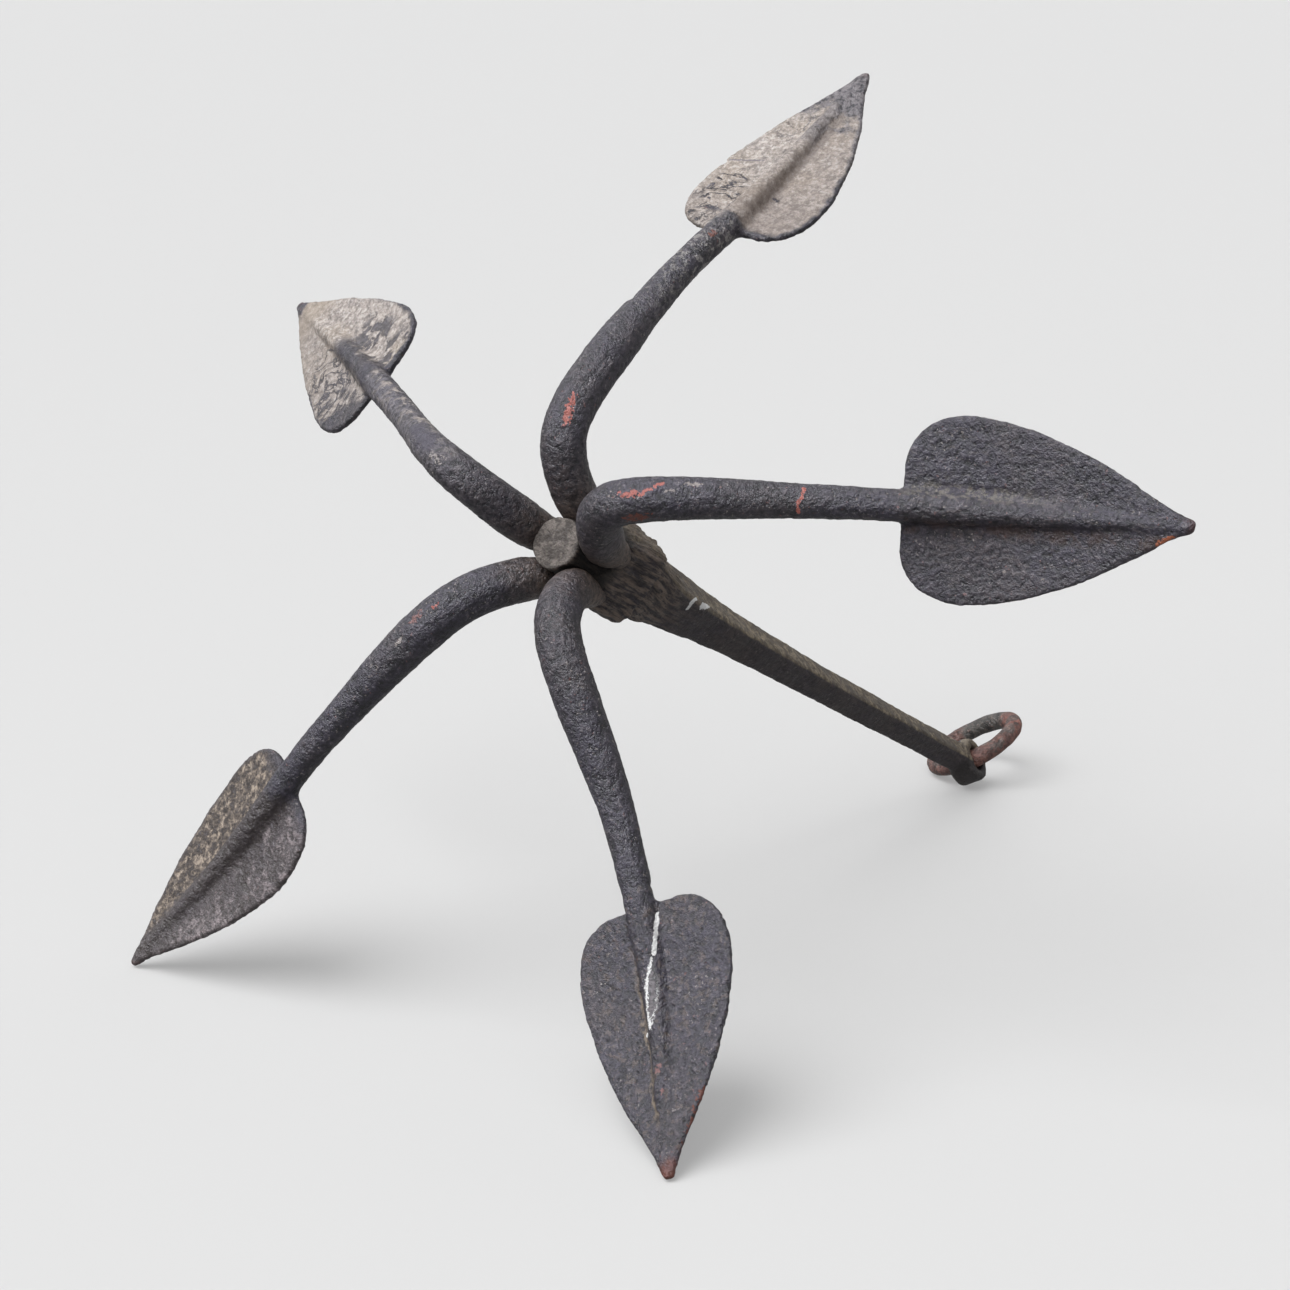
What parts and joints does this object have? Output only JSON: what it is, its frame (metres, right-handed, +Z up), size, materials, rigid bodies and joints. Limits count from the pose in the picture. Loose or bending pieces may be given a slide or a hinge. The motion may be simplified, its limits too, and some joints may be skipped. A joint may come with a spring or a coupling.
{
  "type": "grapnel anchor",
  "caption": "Forged iron grapnel anchor lying on its arms: curved arms with heart-shaped palms round a square tapering shank, and a loose ring through the eye at its end.",
  "frame": {"origin": "centre of the bounding box's base, on the ground that the anchor lies on", "axes": "+Z up; +Y level, from the crown towards the eye and the ring; +X to the right when looking from the crown towards the eye"},
  "size_m": [1.1612, 1.1008, 0.8496],
  "materials": {
    "dark_iron": "pitted blue-black patina with rust freckles and traces of red and white paint",
    "crusted_iron": "dry beige-grey crust flaking off dark iron",
    "grimy_iron": "dark iron with olive-brown grime on the upper flat",
    "rusty_iron": "red-brown rust with grey worn patches"
  },
  "bodies": {
    "anchor": {"shank": "grimy_iron", "arm_1": "dark_iron", "arm_2": "dark_iron", "arm_3": "dark_iron", "arm_4": "dark_iron", "arm_5": "dark_iron", "palm_1": "crusted_iron", "palm_2": "dark_iron", "palm_3": "dark_iron", "palm_4": "dark_iron", "palm_5": "crusted_iron"},
    "ring": {"ring": "rusty_iron"}
  },
  "joints": [
    {"name": "ring_swing", "type": "hinge", "parent": "anchor", "child": "ring", "pos_m": [0.0065, 0.44275, 0.02992], "axis": [0.8424, 0.2629, 0.4704], "range_deg": [-185, 104]}
  ]
}
